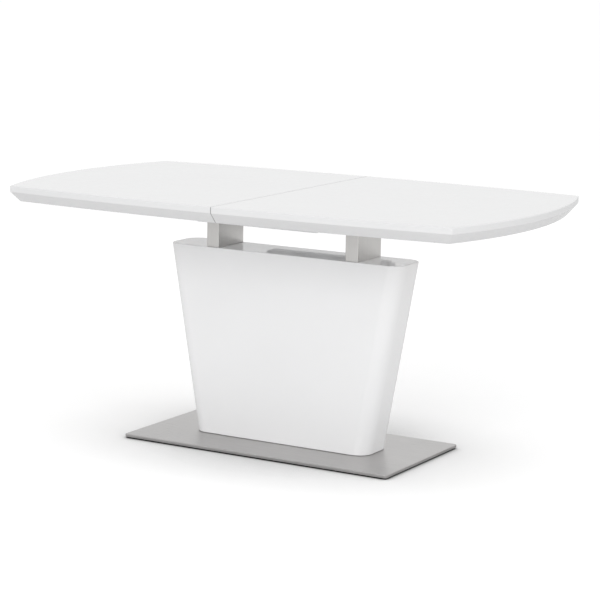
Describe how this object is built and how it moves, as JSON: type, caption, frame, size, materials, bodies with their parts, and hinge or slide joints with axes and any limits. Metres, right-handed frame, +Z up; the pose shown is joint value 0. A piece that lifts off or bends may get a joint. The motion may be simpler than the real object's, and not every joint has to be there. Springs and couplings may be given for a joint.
{
  "type": "extendable dining table",
  "caption": "Boat-shaped white gloss dining table that opens at its middle on synchronised slides, with a stored folding leaf, a tapered pedestal and a brushed steel base.",
  "frame": {"origin": "on the floor under the middle of the closed table", "axes": "+X along the table's length towards the right half, +Y across the table towards its rear edge, +Z up"},
  "size_m": [1.6, 0.9, 0.76],
  "materials": {
    "top_lacquer": "gloss white lacquer on board",
    "leaf_lacquer": "gloss white lacquer, satin underside",
    "rail_aluminium": "extruded, natural anodised",
    "rack_steel": "cut steel rack",
    "brass": "turned brass",
    "beech": "planed beech, unfinished",
    "zinc_fasteners": "bright zinc plate",
    "nickel_fittings": "nickel plate",
    "grey_frame_paint": "light grey powder coat",
    "post_steel": "satin brushed sheet",
    "pedestal_lacquer": "gloss white lacquer on board",
    "black_steel": "black painted plate",
    "brushed_steel": "brushed stainless steel",
    "black_rubber": "moulded black rubber"
  },
  "bodies": {
    "base": {"front_center_rail": "rail_aluminium", "rear_center_rail": "rail_aluminium", "pinion_axles": "zinc_fasteners", "rail_stop_pins": "zinc_fasteners", "rail_screws": "zinc_fasteners", "left_bearer": "grey_frame_paint", "right_bearer": "grey_frame_paint", "head_bolts": "zinc_fasteners", "left_head_plate": "grey_frame_paint", "right_head_plate": "grey_frame_paint", "leaf_lower_panel": "leaf_lacquer", "leaf_upper_panel": "leaf_lacquer", "leaf_lower_frame": "leaf_lacquer", "leaf_upper_frame": "leaf_lacquer", "leaf_hinges": "nickel_fittings", "leaf_dowels": "brass", "leaf_rest_rails": "grey_frame_paint", "leaf_pivot_bar": "grey_frame_paint", "leaf_pivot_brackets": "grey_frame_paint", "left_post": "post_steel", "right_post": "post_steel", "left_column": "grey_frame_paint", "right_column": "grey_frame_paint", "left_foot_plate": "grey_frame_paint", "right_foot_plate": "grey_frame_paint", "lower_tie": "grey_frame_paint", "upper_tie": "grey_frame_paint", "foot_bolts": "zinc_fasteners", "pedestal_shell": "pedestal_lacquer", "pedestal_cap": "pedestal_lacquer", "pedestal_floor": "beech", "pedestal_battens": "beech", "batten_screws": "zinc_fasteners", "base_core": "black_steel", "base_cover": "brushed_steel", "base_pads": "black_rubber"},
    "right_top": {"right_top_panel": "top_lacquer", "right_edge_frame": "top_lacquer", "right_front_runner": "rail_aluminium", "right_rear_runner": "rail_aluminium", "right_front_rack": "rack_steel", "right_rear_rack": "rack_steel", "right_cross_batten": "beech", "right_runner_screws": "zinc_fasteners", "dowel_pins": "brass", "latch_blocks": "nickel_fittings"},
    "left_top": {"left_top_panel": "top_lacquer", "left_edge_frame": "top_lacquer", "left_front_runner": "rail_aluminium", "left_rear_runner": "rail_aluminium", "left_front_rack": "rack_steel", "left_rear_rack": "rack_steel", "left_cross_batten": "beech", "left_runner_screws": "zinc_fasteners", "dowel_sockets": "brass", "latch_keepers": "nickel_fittings"},
    "front_pinion": {"front_pinion": "brass"},
    "rear_pinion": {"rear_pinion": "brass"},
    "front_latch": {"front_latch_lever": "nickel_fittings"},
    "rear_latch": {"rear_latch_lever": "nickel_fittings"}
  },
  "joints": [
    {"name": "right_top_slide", "type": "slide", "parent": "base", "child": "right_top", "axis": [1, 0, 0], "range_m": [0, 0.2]},
    {"name": "left_top_slide", "type": "slide", "parent": "base", "child": "left_top", "axis": [-1, 0, 0], "range_m": [0, 0.2]},
    {"name": "front_pinion_spin", "type": "hinge", "parent": "base", "child": "front_pinion", "pos_m": [0, -0.285, 0.725], "axis": [0, 0, 1], "range_deg": [-956, 0]},
    {"name": "rear_pinion_spin", "type": "hinge", "parent": "base", "child": "rear_pinion", "pos_m": [0, 0.285, 0.725], "axis": [0, 0, 1], "range_deg": [0, 956]},
    {"name": "front_latch_turn", "type": "hinge", "parent": "right_top", "child": "front_latch", "pos_m": [0.012, -0.36, 0.729], "axis": [0, 0, 1], "range_deg": [0, 180]},
    {"name": "rear_latch_turn", "type": "hinge", "parent": "right_top", "child": "rear_latch", "pos_m": [0.012, 0.36, 0.729], "axis": [0, 0, 1], "range_deg": [-180, 0]}
  ],
  "couplings": [
    {"joint": "left_top_slide", "follows": "right_top_slide", "ratio": 1},
    {"joint": "front_pinion_spin", "follows": "right_top_slide", "rad_per_m": -83.333},
    {"joint": "rear_pinion_spin", "follows": "right_top_slide", "rad_per_m": 83.333}
  ]
}
